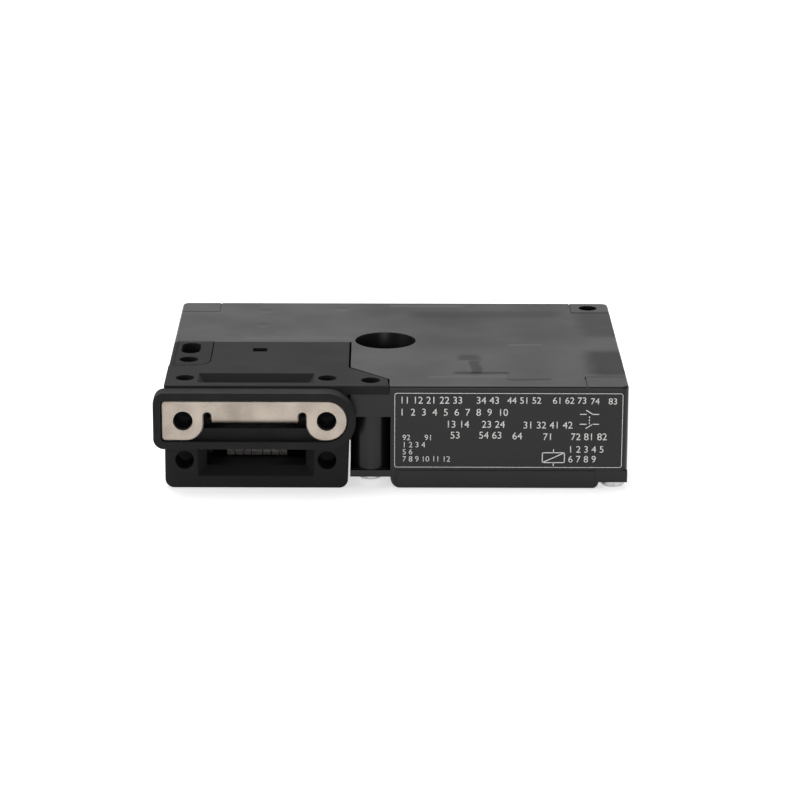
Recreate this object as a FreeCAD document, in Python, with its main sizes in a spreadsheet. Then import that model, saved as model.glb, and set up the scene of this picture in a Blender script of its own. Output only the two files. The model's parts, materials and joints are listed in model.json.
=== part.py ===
import FreeCAD, Part
import math
import os
import Sketcher

# Tongue interlock switch with guard locking, lying on its cover with the mounting face up.
# X runs along the long side, Y from the label side to the cable side, Z from cover to mounting face.
# The origin is the middle of the housing's plan, on the plane the cover lies on. Millimetres.

# ---- driving dimensions: housing and cover
housingLength = 130
housingWidth = 90
housingHeight = 30
coverDepth = 5.3
coverSkin = 2
coverProud = 0.2
wall = 2.5
roof = 3
cornerRadius = 2
edgeRadius = 0.8
gasketInset = 0.8
gasketWidth = 0.9
gasketDepth = 0.8
sideRecessLength = 11.3
sideRecessDepth = 10.5
sideRecessTop = 21
sideBossRadius = 5.4

# ---- head
headLength = 51.4
headDepth = 45.2
headGap = 0.6
headCornerRadius = 2.5
flangeLength = 11.4
flangeDepth = 18.5
flangeNose = 7
flangeThickness = 2.5
flangeTaper = 0.4
flangeSideGap = 0.2
flangeBackGap = 0.3
keySlotLength = 4.1
keySlotWidth = 3.6
keySlotBack = 35
keySlotDepth = 2.5
lugWidth = 11.6
lugFront = 20.5
lugRadius = 5
lugGap = 0.3

# ---- fixing holes in the mounting face, from the left front corner
fixingRadius = 2.75
lugHoleAcross = 5.45
roundHoleBack = 26.5
slotHoleBack = 38.4
slotHoleReach = 2.75
flangeHoleAcross = 57.7
flangeHoleBack = 5.8
farHoleFromRight = 6.4
farHoleFromBack = 5.9
farPostSize = 12
padGrooveWidth = 0.35
padGrooveDepth = 0.35
nearPadDepth = 9.3
leftPadDepth = 11

# ---- actuator and the tongue slots
wheelBack = 14.3
wheelUp = 14.7
tongueOffset = 6.5
tongueThickness = 2
tongueWidth = 24.4
tongueMiddle = 25.5
tongueBar = 4
windowWidth = 17.8
windowLength = 9.4
slotLength = 28
slotHeight = 4.6
slotFlare = 2.4
slotFlareDepth = 3
guideSpacing = 40
guideRadius = 2.65
guideDepth = 8
actuatorGap = 0.3
actuatorFrameDepth = 5.2
actuatorFrameRim = 2.1
actuatorFrameWeb = 2.7
frameCornerRadius = 3
webSlotBelow = 1.7
plateHeight = 11.8
plateLeft = 6.1
plateRight = 5.9
plateRelief = 2.1
plateReliefRise = 1.3
plateLobeRadius = 5
plateClearance = 0.1
plateCornerRadius = 1.2
tongueCornerRadius = 1.5
tongueChamfer = 0.4
roundEndTrim = 0.05

# ---- wheel
discRadius = 9
discThickness = 2
discPitch = 2.35
discGroupOffset = 5.1
lockDiscThickness = 2.8
notchWidth = 5.7
notchFloor = 5.1
axleRadius = 2.5
runningFit = 0.05
seatFit = 0.02
chamberGap = 0.6
chamberLeft = 12.6
chamberRight = 42.3
axleEnd = 46.5
axleStart = 0.5
axleEndPlay = 0.5
axleChamfer = 0.4
camAcross = 40.5
camThickness = 2.4
camRadius = 5
camThrow = 1.25
coilWire = 0.45
wheelSpringGap = 0.2
wheelSpringRise = 0.9
wheelSpringPitch = 1
wheelSpringLength = 3.2
lockSpringPitch = 1.4
lockSpringRise = 1
coilSeat = 0.05

# ---- lock bolt, armature and solenoid
boltRadius = 3
boltTravel = 4
boltGap = 0.3
bladeThickness = 2.6
bladeHeight = 3.4
bladeChamfer = 0.4
bladeShoulderGap = 0.7
guideBlockGap = 1.1
linkBack = 53
linkThickness = 1.5
linkUp = 7.5
linkHeight = 4
linkEyeWall = 2
linkArmEnd = 0.5
linkTabRise = 1.5
linkTabSide = 1.5
linkTabFront = 1.2
crankPinRoom = 0.3
crankPinFit = 0.25
crankPinSwing = 0.21
plungerDepth = 2
solenoidBack = 60
solenoidLength = 24
solenoidWidth = 21
yokeThickness = 1.5
coilRadius = 8.8
bobbinRadius = 6
bobbinFlange = 1.2
armatureRadius = 4.5
armatureLength = 18
armatureFit = 0.3
armatureBackGap = 2.4
armatureChamfer = 0.5
coreGap = 0.4
coilFloorGap = 0.1

# ---- manual release
releaseAcross = 61.9
releaseBack = 47.2
wellRadius = 8.9
wellFloorRadius = 7.4
wellFloor = 20
wellFloorThickness = 2.5
wellWall = 1.5
spindleRadius = 4
spindleKey = 3.6
spindleKeyHeight = 3.5
spindleRise = 1.5
collarHeight = 1.5
collarGap = 0.1
crankPinRise = 1
crankUp = 12
crankRadius = 5
crankThickness = 2
crankPinRadius = 1
sealSection = 0.7

# ---- switch blocks, terminals, screws, cable entries
plungerRadius = 1.5
plungerFit = 0.3
monitorBlockBack = 55.2
monitorBlockWidth = 12
blockLength = 22
blockUp = 8
blockBoreDepth = 9
blockSideWall = 1
blockFloorWall = 1.7
monitorPlungerDepth = 3
plungerChamfer = 0.5
lockPlungerAcross = 72.5
lockPlungerUp = 9.5
lockBlockBack = 57
lockBlockWidth = 13
stripAcross = 84
stripPitch = 17
stripWidth = 11
stripBack = 12
stripLength = 66
stripUp = 13
clampPitch = 12.6
clampRadius = 2.6
clampHeadHeight = 2
screwRadius = 1.5
clampReach = 7
clampEndRoom = 0.5
clampSlotHalf = 0.35
coverScrewHead = 3.3
coverScrewHeadHeight = 1.8
coverScrewReach = 12
coverScrewRoom = 0.5
coverScrewHeadRound = 0.6
crossArm = 1.8
crossHalf = 0.35
crossDepth = 1
screwPocketGap = 0.4
coverTabRim = 2
coverScrewSeat = 1.9
sideScrewSeat = 3.4
coverCornerRadius = 1.6
coverPocket = 8
coverScrewInset = 3.9
bossRadius = 3.6
rightScrewBack = 71
entryRadius = 7.2
entryBossRadius = 10
entryDepth = 8
entryUp = 16.2
rightEntryBack = 26
rightEntryPitch = 28
backEntryAcross = 81
backEntryPitch = 23
plugFlange = 9.3
plugFlangeHeight = 2.2
plugRound = 0.6
plugSlotReach = 6
plugSlotHalf = 0.9
plugSlotDepth = 1.2
plugStop = 1
headScrewRadius = 3
headScrewReach = 9
headScrewRoom = 0.5
headScrewHeadHeight = 1.2
nearHeadScrewAcross = 16.5
farHeadScrewAcross = 46.8

drivingSizes = {name: value for name, value in globals().items() if isinstance(value, (int, float))}

# a cutting outline runs past the face that it cuts by this much
overrun = 1

Vector = FreeCAD.Vector
document = FreeCAD.newDocument("TongueInterlock")
sheet = document.addObject("Spreadsheet::Sheet", "Sizes")


class Size:
    """A length that knows its value and the expression that the document keeps for it."""

    def __init__(self, value, text):
        self.value = value
        self.text = text

    def __add__(self, other):
        other = asSize(other)
        return Size(self.value + other.value, f"({self.text} + {other.text})")

    def __sub__(self, other):
        other = asSize(other)
        return Size(self.value - other.value, f"({self.text} - {other.text})")

    def __mul__(self, factor):
        factor = asSize(factor)
        return Size(self.value * factor.value, f"({self.text} * {factor.text})")

    def __truediv__(self, divisor):
        divisor = asSize(divisor)
        return Size(self.value / divisor.value, f"({self.text} / {divisor.text})")

    def __neg__(self):
        return Size(-self.value, f"(0 - {self.text})")


def asSize(value):
    return value if isinstance(value, Size) else Size(float(value), f"({float(value):.6f})")


# ---- each driving dimension goes to the sheet under its own name, and is a Size from here on
for row, (name, value) in enumerate(drivingSizes.items(), 1):
    sheet.set(f"A{row}", name)
    sheet.set(f"B{row}", str(value))
    sheet.setAlias(f"B{row}", name)
    globals()[name] = Size(value, f"Sizes.{name}")
document.recompute()

# ---- places worked out from the driving dimensions
left = -(housingLength / 2)
right = housingLength / 2
front = -(housingWidth / 2)
back = housingWidth / 2
top = housingHeight
ceiling = top - roof
headRight = left + headLength
headBack = front + headDepth
bodyLeft = headRight + headGap
recessRight = bodyLeft + sideRecessLength
recessBack = front + sideRecessDepth
flangeRight = headRight + flangeLength
lugRight = left + lugWidth
lugStart = front + lugFront
farPostLeft = right - farPostSize
farPostFront = back - farPostSize
wheelY = front + wheelBack
wheelZ = wheelUp
middleX = left + tongueMiddle
upperSlotZ = wheelZ + tongueOffset
lowerSlotZ = wheelZ - tongueOffset
topSlotY = wheelY - tongueOffset
guideLeft = middleX - guideSpacing / 2
guideRight = middleX + guideSpacing / 2
releaseX = left + releaseAcross
releaseY = front + releaseBack
discs = [discPitch * step for step in (-1, 0, 1)]

planeRoles = {"XY": "XY_Plane", "XZ": "XZ_Plane", "YZ": "YZ_Plane"}


# ---- helpers for bodies, sketches and features
def newBody(label):
    body = document.addObject("PartDesign::Body", label)
    body.Label = label
    return body


def newSketch(body, plane, level):
    """A sketch on one of the body's own origin planes, shifted to level along that plane's axis."""
    sketch = body.newObject("Sketcher::SketchObject", "Sketch")
    role = planeRoles[plane]
    support = [item for item in body.Origin.OriginFeatures if item.Role == role][0]
    sketch.AttachmentSupport = (support, [""])
    sketch.MapMode = "FlatFace"
    shift = -asSize(level) if plane == "XZ" else asSize(level)
    sketch.setExpression("AttachmentOffset.Base.z", shift.text)
    return sketch


def pin(sketch, kind, geometry, place, value):
    """Hold one coordinate of a sketch point at a size from the sheet."""
    value = asSize(value)
    number = sketch.addConstraint(Sketcher.Constraint(kind, -1, 1, geometry, place, value.value))
    sketch.setExpression(f"Constraints[{number}]", value.text)


def drawLoop(sketch, points):
    """A closed outline of straight sides."""
    points = [(asSize(across), asSize(up)) for across, up in points]
    first = sketch.GeometryCount
    count = len(points)
    for index in range(count):
        begin = points[index]
        end = points[(index + 1) % count]
        side = Part.LineSegment(Vector(begin[0].value, begin[1].value, 0),
                                Vector(end[0].value, end[1].value, 0))
        sketch.addGeometry(side)
    for index in range(count):
        following = first + (index + 1) % count
        sketch.addConstraint(Sketcher.Constraint("Coincident", first + index, 2, following, 1))
        pin(sketch, "DistanceX", first + index, 1, points[index][0])
        pin(sketch, "DistanceY", first + index, 1, points[index][1])


def drawCircle(sketch, across, up, radius):
    across = asSize(across)
    up = asSize(up)
    radius = asSize(radius)
    circle = Part.Circle(Vector(across.value, up.value, 0), Vector(0, 0, 1), radius.value)
    number = sketch.addGeometry(circle)
    pin(sketch, "DistanceX", number, 3, across)
    pin(sketch, "DistanceY", number, 3, up)
    constraint = sketch.addConstraint(Sketcher.Constraint("Radius", number, radius.value))
    sketch.setExpression(f"Constraints[{constraint}]", radius.text)


def drawSlot(sketch, across, up, reach, radius):
    """An upright slot: two half circles, reach above and below the middle, joined by two sides."""
    high = up + reach
    low = up - reach
    upAxis = Vector(0, 0, 1)
    half = math.pi
    upper = Part.ArcOfCircle(Part.Circle(Vector(across.value, high.value, 0), upAxis, radius.value), 0, half)
    lower = Part.ArcOfCircle(Part.Circle(Vector(across.value, low.value, 0), upAxis, radius.value),
                             half, 2 * half)
    first = sketch.addGeometry(upper)
    second = sketch.addGeometry(lower)
    leftSide = sketch.addGeometry(Part.LineSegment(
        Vector(across.value - radius.value, high.value, 0), Vector(across.value - radius.value,
                                                                   low.value, 0)))
    rightSide = sketch.addGeometry(Part.LineSegment(
        Vector(across.value + radius.value, low.value, 0), Vector(across.value + radius.value,
                                                                  high.value, 0)))
    sketch.addConstraint(Sketcher.Constraint("Tangent", first, 2, leftSide, 1))
    sketch.addConstraint(Sketcher.Constraint("Tangent", leftSide, 2, second, 1))
    sketch.addConstraint(Sketcher.Constraint("Tangent", second, 2, rightSide, 1))
    sketch.addConstraint(Sketcher.Constraint("Tangent", rightSide, 2, first, 1))
    pin(sketch, "DistanceX", first, 3, across)
    pin(sketch, "DistanceY", first, 3, high)
    pin(sketch, "DistanceY", second, 3, low)
    constraint = sketch.addConstraint(Sketcher.Constraint("Radius", first, radius.value))
    sketch.setExpression(f"Constraints[{constraint}]", radius.text)


def rectangle(low, high):
    return [(low[0], low[1]), (high[0], low[1]), (high[0], high[1]), (low[0], high[1])]


def pad(body, sketch, plane, length):
    """Extrude a sketch towards the positive side of its axis."""
    feature = body.newObject("PartDesign::Pad", "Pad")
    feature.Profile = sketch
    feature.setExpression("Length", asSize(length).text)
    feature.Reversed = plane == "XZ"
    return settle(body, feature)


def cut(body, sketch, plane, length):
    """Pocket a sketch towards the positive side of its axis; it has to take something away."""
    before = body.Tip.Shape.Volume
    feature = body.newObject("PartDesign::Pocket", "Pocket")
    feature.Profile = sketch
    feature.setExpression("Length", asSize(length).text)
    feature.Reversed = plane != "XZ"
    settle(body, feature)
    if feature.Shape.Volume > before - 1e-6:
        raise RuntimeError(f"a pocket of {body.Label} cuts nothing")
    return feature


def settle(body, feature):
    document.recompute()
    if "Invalid" in feature.State or "Error" in feature.State or feature.Shape.isNull():
        raise RuntimeError(f"{feature.Label} of {body.Label} failed")
    return feature


def prism(body, plane, level, length, *loops):
    sketch = newSketch(body, plane, level)
    drawAll(sketch, loops)
    return pad(body, sketch, plane, length)


def pocket(body, plane, level, length, *loops):
    sketch = newSketch(body, plane, level)
    drawAll(sketch, loops)
    return cut(body, sketch, plane, length)


def drawAll(sketch, loops):
    """Each loop is a list of corners, or a circle given as (across, up, radius)."""
    for loop in loops:
        if isinstance(loop, list):
            drawLoop(sketch, loop)
        else:
            drawCircle(sketch, *loop)


def funnel(body, plane, mouth, mouthLevel, throat, throatLevel):
    """Cut a tapered mouth between two rectangles on parallel planes."""
    outer = newSketch(body, plane, mouthLevel)
    drawLoop(outer, mouth)
    inner = newSketch(body, plane, throatLevel)
    drawLoop(inner, throat)
    feature = body.newObject("PartDesign::SubtractiveLoft", "Mouth")
    feature.Profile = outer
    feature.Sections = [inner]
    feature.Ruled = True
    return settle(body, feature)


def edgesWhere(feature, test):
    names = []
    for index, edge in enumerate(feature.Shape.Edges):
        if test(edge):
            names.append(f"Edge{index + 1}")
    return names


def roundEdges(body, radius, test, kind="Fillet"):
    """Fillet or chamfer the edges of the body's tip that the test picks."""
    base = body.Tip
    names = edgesWhere(base, test)
    if not names:
        raise RuntimeError(f"no edge of {body.Label} to round")
    feature = body.newObject(f"PartDesign::{kind}", kind)
    feature.Base = (base, names)
    feature.setExpression("Radius" if kind == "Fillet" else "Size", asSize(radius).text)
    return settle(body, feature)


def along(axis, first, second):
    """A test for straight edges along an axis, at the given other two coordinates."""
    others = [index for index in range(3) if index != axis]

    def test(edge):
        box = edge.BoundBox
        low = (box.XMin, box.YMin, box.ZMin)
        high = (box.XMax, box.YMax, box.ZMax)
        for index, wanted in zip(others, (first, second)):
            if wanted is None:
                if high[index] - low[index] > 1e-4:
                    return False
            elif abs(low[index] - wanted.value) > 1e-3 or abs(high[index] - wanted.value) > 1e-3:
                return False
        return high[axis] - low[axis] > 1e-3

    return test


def isRing(edge):
    """A full circle, such as the rim of a turned end."""
    return len(edge.Vertexes) == 1


def anyOf(*tests):
    return lambda edge: any(test(edge) for test in tests)


# ---- main housing: a tray that opens towards the cover
def coverPlan(inset):
    """The outline of cover and housing wall, drawn in by inset."""
    return [(bodyLeft + inset, front + inset), (right - inset, front + inset),
            (right - inset, farPostFront - inset), (farPostLeft - inset, farPostFront - inset),
            (farPostLeft - inset, back - inset), (left + inset, back - inset),
            (left + inset, headBack + inset), (bodyLeft + inset, headBack + inset)]


def cavityPlan(inset):
    """The hollow inside the walls, which steps round the side recess."""
    return [(recessRight + inset, front + inset), (right - inset, front + inset),
            (right - inset, farPostFront - inset), (farPostLeft - inset, farPostFront - inset),
            (farPostLeft - inset, back - inset), (left + inset, back - inset),
            (left + inset, headBack + inset), (bodyLeft + inset, headBack + inset),
            (bodyLeft + inset, recessBack + inset), (recessRight + inset, recessBack + inset)]


coverScrews = [(right - coverScrewInset, front + coverScrewInset, coverScrewSeat),
               (left + flangeHoleAcross, front + flangeHoleBack, sideScrewSeat),
               (left + coverScrewInset, back - coverScrewInset, coverScrewSeat),
               (right - coverScrewInset, front + rightScrewBack, coverScrewSeat)]
entryCentresRight = [(front + rightEntryBack + rightEntryPitch * step, entryUp) for step in (0, 1)]
entryCentresBack = [(left + backEntryAcross + backEntryPitch * step, entryUp) for step in (0, 1)]
headScrews = [(left + nearHeadScrewAcross, wheelZ), (left + farHeadScrewAcross, upperSlotZ)]


def makeHousing():
    body = newBody("main_housing")
    plan = coverPlan(asSize(0))
    plan[2:4] = []
    plan[2] = (right, back)
    prism(body, "XY", coverDepth, top - coverDepth, plan)
    prism(body, "XY", asSize(0), top, rectangle((left, lugStart), (lugRight, headBack)))
    prism(body, "XY", asSize(0), top, rectangle((farPostLeft, farPostFront), (right, back)))
    pocket(body, "XY", coverDepth, ceiling - coverDepth, cavityPlan(wall))
    pocket(body, "XY", coverDepth, sideRecessTop - coverDepth,
           rectangle((bodyLeft - overrun, front - overrun), (recessRight, recessBack)))
    roomRight = flangeRight + flangeSideGap
    roomBack = front + flangeDepth + flangeBackGap
    flangeRoom = [(bodyLeft - overrun, front - overrun), (roomRight, front - overrun),
                  (roomRight, front + flangeNose), (bodyLeft, roomBack), (bodyLeft - overrun, roomBack)]
    pocket(body, "XY", top - flangeThickness, flangeThickness + overrun, flangeRoom)
    bossTop = ceiling - coverDepth
    prism(body, "XY", coverDepth, sideRecessTop - coverDepth,
          (coverScrews[1][0], coverScrews[1][1], sideBossRadius))
    for place in (coverScrews[0], coverScrews[2], coverScrews[3]):
        prism(body, "XY", coverDepth, bossTop, (place[0], place[1], bossRadius))
    prism(body, "XY", wellFloor - wellFloorThickness, top - wellFloor + wellFloorThickness - roof / 2,
          (releaseX, releaseY, wellRadius + wellWall))
    for across, up in entryCentresRight:
        prism(body, "YZ", right - entryDepth, entryDepth - plugStop, (across, up, entryBossRadius))
    for across, up in entryCentresBack:
        prism(body, "XZ", back - entryDepth, entryDepth - plugStop, (across, up, entryBossRadius))
    return body


def finishHousing(body):
    sketch = newSketch(body, "XY", wellFloor)
    drawCircle(sketch, releaseX, releaseY, wellFloorRadius)
    mouth = newSketch(body, "XY", top)
    drawCircle(mouth, releaseX, releaseY, wellRadius)
    feature = body.newObject("PartDesign::SubtractiveLoft", "Well")
    feature.Profile = sketch
    feature.Sections = [mouth]
    settle(body, feature)
    pocket(body, "XY", wellFloor - wellFloorThickness, wellFloorThickness,
           (releaseX, releaseY, spindleRadius + runningFit))
    for across, up in entryCentresRight:
        pocket(body, "YZ", right - entryDepth, entryDepth, (across, up, entryRadius))
    for across, up in entryCentresBack:
        pocket(body, "XZ", back - entryDepth, entryDepth, (across, up, entryRadius))
    pocket(body, "XY", asSize(0), top,
           (left + lugHoleAcross, front + roundHoleBack, fixingRadius),
           (right - farHoleFromRight, back - farHoleFromBack, fixingRadius))
    slot = newSketch(body, "XY", 0)
    drawSlot(slot, left + lugHoleAcross, front + slotHoleBack, slotHoleReach, fixingRadius)
    cut(body, slot, "XY", top)
    pocket(body, "XY", sideRecessTop, top - sideRecessTop,
           (left + flangeHoleAcross, front + flangeHoleBack, fixingRadius))
    for across, up, seat in coverScrews:
        pocket(body, "XY", coverDepth, seat + coverScrewReach + coverScrewRoom - coverDepth,
               (across, up, screwRadius + seatFit))
    pocket(body, "XZ", headBack, wall, (middleX, wheelZ, boltRadius + plungerFit),
           (left + camAcross, wheelZ, plungerRadius + plungerFit),
           (headScrews[0][0], headScrews[0][1], screwRadius + seatFit),
           (headScrews[1][0], headScrews[1][1], screwRadius + seatFit))
    roundEdges(body, lugRadius, along(2, lugRight, lugStart))
    roundEdges(body, cornerRadius, anyOf(along(2, right, front), along(2, right, back), along(2, left, back)))
    roundEdges(body, edgeRadius, topRim)
    groovePads(body)


def topRim(edge):
    """The outer edges of the mounting face, between the front, right and back sides."""
    box = edge.BoundBox
    level = abs(box.ZMin - top.value) < 1e-3 and abs(box.ZMax - top.value) < 1e-3
    reach = cornerRadius.value + 0.01
    atRight = box.XMin > right.value - reach
    atBack = box.YMin > back.value - reach
    atFront = box.YMax < front.value + reach and box.XMin > flangeRight.value
    return level and (atRight or atBack or atFront)


def groovePads(body):
    """Shallow outlines of the contact pads at three corners of the mounting face."""
    level = top - padGrooveDepth
    wide = padGrooveWidth
    pocket(body, "XY", level, padGrooveDepth,
           rectangle((farPostLeft, front - overrun), (farPostLeft + wide, front + nearPadDepth)))
    pocket(body, "XY", level, padGrooveDepth,
           rectangle((farPostLeft, front + nearPadDepth), (right + overrun, front + nearPadDepth + wide)))
    pocket(body, "XY", level, padGrooveDepth,
           rectangle((farPostLeft, farPostFront), (farPostLeft + wide, back + overrun)))
    pocket(body, "XY", level, padGrooveDepth,
           rectangle((farPostLeft + wide, farPostFront), (right + overrun, farPostFront + wide)))
    padFront = back - leftPadDepth
    pocket(body, "XY", level, padGrooveDepth, rectangle((lugRight, padFront),
                                                        (lugRight + wide, back + overrun)))
    pocket(body, "XY", level, padGrooveDepth, rectangle((left - overrun, padFront),
                                                        (lugRight, padFront + wide)))


# ---- cover with its rim, gasket groove and recessed screw corners
def makeCover():
    body = newBody("housing_cover")
    plan = coverPlan(asSize(0))
    plan[0] = (bodyLeft, front)
    prism(body, "XY", asSize(0), coverDepth, plan)
    prism(body, "XY", asSize(0), coverDepth,
          rectangle((recessRight, front - coverProud), (right - coverPocket, front + overrun)))
    pocket(body, "XY", coverSkin, coverDepth - coverSkin, cavityPlan(wall))
    size = coverPocket + coverTabRim
    prism(body, "XY", asSize(0), coverDepth, rectangle((right - size, front), (right, front + size)))
    prism(body, "XY", asSize(0), coverDepth, rectangle((left, back - size), (left + size, back)))
    prism(body, "XY", asSize(0), coverDepth,
          rectangle((right - size, coverScrews[3][1] - size / 2), (right, farPostFront)))
    pocket(body, "XY", asSize(0), coverScrewSeat,
           rectangle((right - coverPocket, front - overrun), (right + overrun, front + coverPocket)))
    pocket(body, "XY", asSize(0), sideScrewSeat,
           rectangle((bodyLeft - overrun, front - overrun), (recessRight, recessBack)))
    pocket(body, "XY", asSize(0), coverScrewSeat,
           rectangle((left - overrun, back - coverPocket), (left + coverPocket, back + overrun)))
    pocket(body, "XY", asSize(0), coverScrewSeat,
           (coverScrews[3][0], coverScrews[3][1], coverScrewHead + screwPocketGap))
    for across, up, seat in coverScrews:
        pocket(body, "XY", seat, coverDepth - seat, (across, up, screwRadius + seatFit))
    inner = gasketInset + gasketWidth
    pocket(body, "XY", coverDepth - gasketDepth, gasketDepth, coverPlan(gasketInset), coverPlan(inner))
    roundEdges(body, cornerRadius, anyOf(along(2, right, back), along(2, right, farPostFront)))
    roundEdges(body, edgeRadius, along(0, front - coverProud, asSize(0)))
    roundEdges(body, headCornerRadius, along(1, recessRight, asSize(0)))
    roundEdges(body, coverCornerRadius, along(1, right - coverPocket, asSize(0)))


def makeGasket():
    body = newBody("cover_gasket")
    inner = gasketInset + gasketWidth
    prism(body, "XY", coverDepth - gasketDepth, gasketDepth, coverPlan(gasketInset), coverPlan(inner))


# ---- head with three tongue slots, guide holes and the wheel chamber
def slotMouth(across, up):
    half = slotLength / 2
    tall = slotHeight / 2
    wideHalf = half + slotFlare
    wideTall = tall + slotFlare
    wide = rectangle((across - wideHalf, up - wideTall), (across + wideHalf, up + wideTall))
    narrow = rectangle((across - half, up - tall), (across + half, up + tall))
    return wide, narrow


def makeHead():
    body = newBody("head_shell")
    notchRight = lugRight + lugGap
    notchFront = lugStart - lugGap
    plan = [(left, front), (headRight, front), (headRight, headBack), (notchRight, headBack),
            (notchRight, notchFront), (left, notchFront)]
    prism(body, "XY", asSize(0), top, plan)
    flange = [(headRight, front), (flangeRight, front), (flangeRight - flangeTaper, front + flangeNose),
              (headRight, front + flangeDepth)]
    prism(body, "XY", top - flangeThickness, flangeThickness, flange)
    chamber = discRadius + chamberGap
    chamberLength = chamberRight - chamberLeft
    pocket(body, "YZ", left + chamberLeft, chamberLength, (wheelY, wheelZ, chamber))
    pocket(body, "XZ", wheelY, headBack - wheelY,
           rectangle((left + chamberLeft, wheelZ - chamber), (left + chamberRight, wheelZ + chamber)))
    pocket(body, "YZ", left, axleEnd + axleEndPlay, (wheelY, wheelZ, axleRadius + runningFit))
    for slotZ in (upperSlotZ, lowerSlotZ):
        wide, narrow = slotMouth(middleX, slotZ)
        funnel(body, "XZ", wide, front, narrow, front + slotFlareDepth)
        pocket(body, "XZ", front, wheelBack, narrow)
    wide, narrow = slotMouth(middleX, topSlotY)
    funnel(body, "XY", wide, top, narrow, top - slotFlareDepth)
    pocket(body, "XY", wheelZ, top - wheelZ, narrow)
    for guide in (guideLeft, guideRight):
        pocket(body, "XZ", front, guideDepth, (guide, lowerSlotZ, guideRadius))
        pocket(body, "XZ", front, guideDepth, (guide, upperSlotZ, guideRadius))
        pocket(body, "XY", top - guideDepth, guideDepth, (guide, topSlotY, guideRadius))
    pocket(body, "XY", top - flangeThickness, flangeThickness,
           (left + flangeHoleAcross, front + flangeHoleBack, fixingRadius))
    keyWay = rectangle((middleX - keySlotLength / 2, front + keySlotBack),
                       (middleX + keySlotLength / 2, front + keySlotBack + keySlotWidth))
    pocket(body, "XY", top - keySlotDepth, keySlotDepth, keyWay)
    for across, up in headScrews:
        if across.value > (left + chamberRight).value:
            pocket(body, "XZ", headBack - headScrewReach, headScrewReach, (across, up, screwRadius + seatFit))
    roundEdges(body, lugRadius + lugGap, along(2, notchRight, notchFront))
    roundEdges(body, headCornerRadius, anyOf(along(1, left, asSize(0)), along(1, headRight, asSize(0))))
    roundEdges(body, edgeRadius / 2, anyOf(along(0, front, top), along(2, left, front)))


def makeGuideBlock():
    """The block behind the wheel that guides the lock bolt and the monitoring plunger."""
    body = newBody("head_guide_block")
    chamber = discRadius + chamberGap
    start = wheelY + discRadius + guideBlockGap
    prism(body, "XZ", start, headBack - start,
          rectangle((left + chamberLeft, wheelZ - chamber), (left + chamberRight, wheelZ + chamber)))
    pocket(body, "XZ", start, headBack - start, (middleX, wheelZ, boltRadius + runningFit),
           (left + camAcross, wheelZ, plungerRadius + runningFit))
    pocket(body, "XZ", headBack - headScrewReach, headScrewReach,
           (headScrews[0][0], headScrews[0][1], screwRadius + seatFit))


# ---- actuator: bent steel plate in a plastic frame
plateBottom = upperSlotZ - plateHeight / 2
plateTop = upperSlotZ + plateHeight / 2
plateBack = front - actuatorGap - actuatorFrameWeb
plateFront = plateBack - tongueThickness
tongueLow = upperSlotZ - tongueThickness / 2
tongueHigh = upperSlotZ + tongueThickness / 2
tongueTip = wheelY + tongueBar / 2


def makeActuatorPlate():
    body = newBody("actuator_plate")
    tongueLeft = middleX - tongueWidth / 2
    tongueRight = middleX + tongueWidth / 2
    reliefTop = tongueHigh + plateReliefRise
    outline = [(guideLeft - plateLeft, plateBottom), (tongueLeft - plateRelief, plateBottom),
               (tongueLeft - plateRelief, reliefTop), (tongueLeft, reliefTop), (tongueLeft, tongueLow),
               (tongueRight, tongueLow), (tongueRight, reliefTop), (tongueRight + plateRelief, reliefTop),
               (tongueRight + plateRelief, plateBottom), (guideRight + plateRight, plateBottom),
               (guideRight + plateRight, plateTop), (guideLeft - plateLeft, plateTop)]
    prism(body, "XZ", plateFront, tongueThickness, outline)
    prism(body, "XY", tongueLow, tongueThickness,
          rectangle((tongueLeft, plateFront), (tongueRight, tongueTip)))
    windowBack = tongueTip - tongueBar
    pocket(body, "XY", tongueLow, tongueThickness,
           rectangle((middleX - windowWidth / 2, windowBack - windowLength),
                     (middleX + windowWidth / 2, windowBack)))
    pocket(body, "XZ", plateFront, tongueThickness, (guideLeft, upperSlotZ, fixingRadius),
           (guideRight, upperSlotZ, fixingRadius))
    leftEnd = guideLeft - plateLeft
    rightEnd = guideRight + plateRight
    roundEdges(body, plateCornerRadius, anyOf(along(1, leftEnd, plateBottom), along(1, leftEnd, plateTop)))
    roundEdges(body, plateHeight / 2 - roundEndTrim, anyOf(
        along(1, rightEnd, plateBottom), along(1, rightEnd, plateTop)))
    roundEdges(body, plateLobeRadius, anyOf(
        along(1, tongueLeft - plateRelief, plateBottom), along(1, tongueRight + plateRelief, plateBottom)))
    roundEdges(body, plateRelief / 2 - roundEndTrim, anyOf(
        along(1, tongueLeft - plateRelief, reliefTop), along(1, tongueLeft, reliefTop),
        along(1, tongueRight, reliefTop), along(1, tongueRight + plateRelief, reliefTop)))
    roundEdges(body, tongueThickness, along(0, plateFront, tongueLow))
    roundEdges(body, tongueCornerRadius, anyOf(along(2, tongueLeft, tongueTip),
                                               along(2, tongueRight, tongueTip)))
    roundEdges(body, tongueChamfer, anyOf(along(0, tongueTip, tongueLow),
                                          along(0, tongueTip, tongueHigh)), "Chamfer")


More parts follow.
